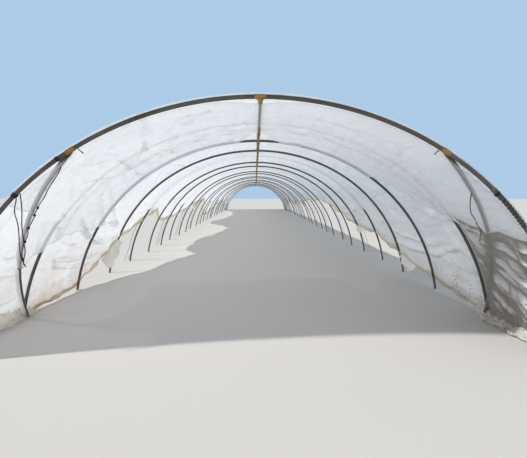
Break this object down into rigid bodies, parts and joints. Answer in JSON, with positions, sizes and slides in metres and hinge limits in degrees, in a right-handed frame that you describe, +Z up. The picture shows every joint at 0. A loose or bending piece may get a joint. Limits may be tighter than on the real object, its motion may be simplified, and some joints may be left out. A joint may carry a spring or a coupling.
{
  "type": "field polytunnel greenhouse",
  "caption": "Long walk-in polytunnel: bent steel tube hoops under one translucent film, raised side vents, curved end braces, ridge purlin and hold-down ropes",
  "frame": {"origin": "middle of the footprint, on the ground", "axes": "X across the tunnel, Y along it with the pictured end at the low end, Z up"},
  "size_m": [6.7962, 39.06, 2.718],
  "materials": {
    "hoop_tube": "weathered galvanised tube, dull dark grey with brown stains",
    "bound_purlin": "thin tube bound with faded ochre tape and twine",
    "cover_film": "translucent white polyethylene film, creased and dusty",
    "apron_film": "slack translucent white film",
    "hem_film": "folded cream film edge",
    "rope": "thin black polypropylene rope"
  },
  "bodies": {
    "root": {"front_end_hoop": "hoop_tube", "hoop_01": "hoop_tube", "hoop_02": "hoop_tube", "hoop_03": "hoop_tube", "hoop_04": "hoop_tube", "hoop_05": "hoop_tube", "hoop_06": "hoop_tube", "hoop_07": "hoop_tube", "hoop_08": "hoop_tube", "hoop_09": "hoop_tube", "hoop_10": "hoop_tube", "hoop_11": "hoop_tube", "hoop_12": "hoop_tube", "hoop_13": "hoop_tube", "hoop_14": "hoop_tube", "hoop_15": "hoop_tube", "hoop_16": "hoop_tube", "hoop_17": "hoop_tube", "hoop_18": "hoop_tube", "hoop_19": "hoop_tube", "hoop_20": "hoop_tube", "hoop_21": "hoop_tube", "hoop_22": "hoop_tube", "hoop_23": "hoop_tube", "hoop_24": "hoop_tube", "hoop_25": "hoop_tube", "rear_end_hoop": "hoop_tube", "front_left_brace": "hoop_tube", "front_right_brace": "hoop_tube", "rear_left_brace": "hoop_tube", "rear_right_brace": "hoop_tube", "ridge_purlin": "bound_purlin", "left_roof_film": "cover_film", "left_shoulder_film": "cover_film", "left_side_film": "cover_film", "right_roof_film": "cover_film", "right_shoulder_film": "cover_film", "right_side_film": "cover_film", "front_apron_crown_film": "apron_film", "front_left_apron_shoulder_film": "apron_film", "front_right_apron_shoulder_film": "apron_film", "front_left_apron_side_film": "apron_film", "front_right_apron_side_film": "apron_film", "left_hem": "hem_film", "right_hem": "hem_film", "hold_down_ropes": "rope", "front_left_rope_long": "rope", "front_left_rope_short": "rope", "front_left_brace_rope": "rope", "front_right_brace_rope": "rope"}
  },
  "joints": []
}
